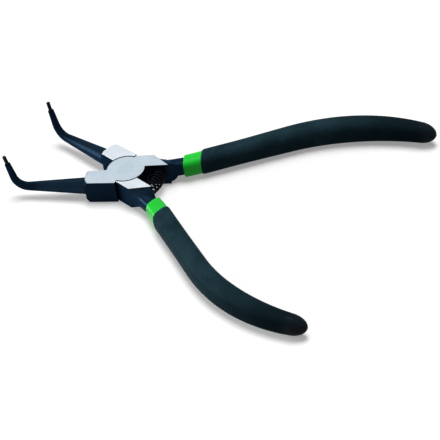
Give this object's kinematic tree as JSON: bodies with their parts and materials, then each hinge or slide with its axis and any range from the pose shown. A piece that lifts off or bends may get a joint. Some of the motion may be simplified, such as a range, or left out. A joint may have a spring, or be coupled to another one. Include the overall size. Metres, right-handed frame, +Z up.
{
  "type": "circlip pliers",
  "caption": "Sprung pliers for inside circlips: lapped forged levers on a flush rivet, tips bent upwards, bowed dipped grips.",
  "frame": {"origin": "the pivot axis at the joint's ground underside", "axes": "+X from the tips towards the handles, +Z up through the joint, the way the tips are bent; the open levers lie evenly to either side of the XZ plane"},
  "size_m": [0.1574, 0.1314, 0.0209],
  "materials": {
    "blackened_steel": "satin black oxide, ground bright on the joint's flat faces",
    "ground_steel": "fine ground",
    "spring_steel": "black",
    "tip_steel": "satin black oxide",
    "green_vinyl": "gloss",
    "black_vinyl": "satin"
  },
  "bodies": {
    "upper_half": {"upper_lever": "blackened_steel", "pivot_rivet": "ground_steel", "opening_spring": "spring_steel", "upper_tip_pin": "tip_steel", "upper_grip_liner": "green_vinyl", "upper_grip_sleeve": "black_vinyl"},
    "lower_half": {"lower_lever": "blackened_steel", "lower_tip_pin": "tip_steel", "lower_grip_liner": "green_vinyl", "lower_grip_sleeve": "black_vinyl"}
  },
  "joints": [
    {"name": "lever_pivot", "type": "hinge", "parent": "upper_half", "child": "lower_half", "pos_m": [0, 0, 0], "axis": [0, 0, 1], "range_deg": [0, 41.6], "stiffness_Nm_per_rad": 0.5, "springref_deg": -14.32, "deforming": ["opening_spring"]}
  ]
}
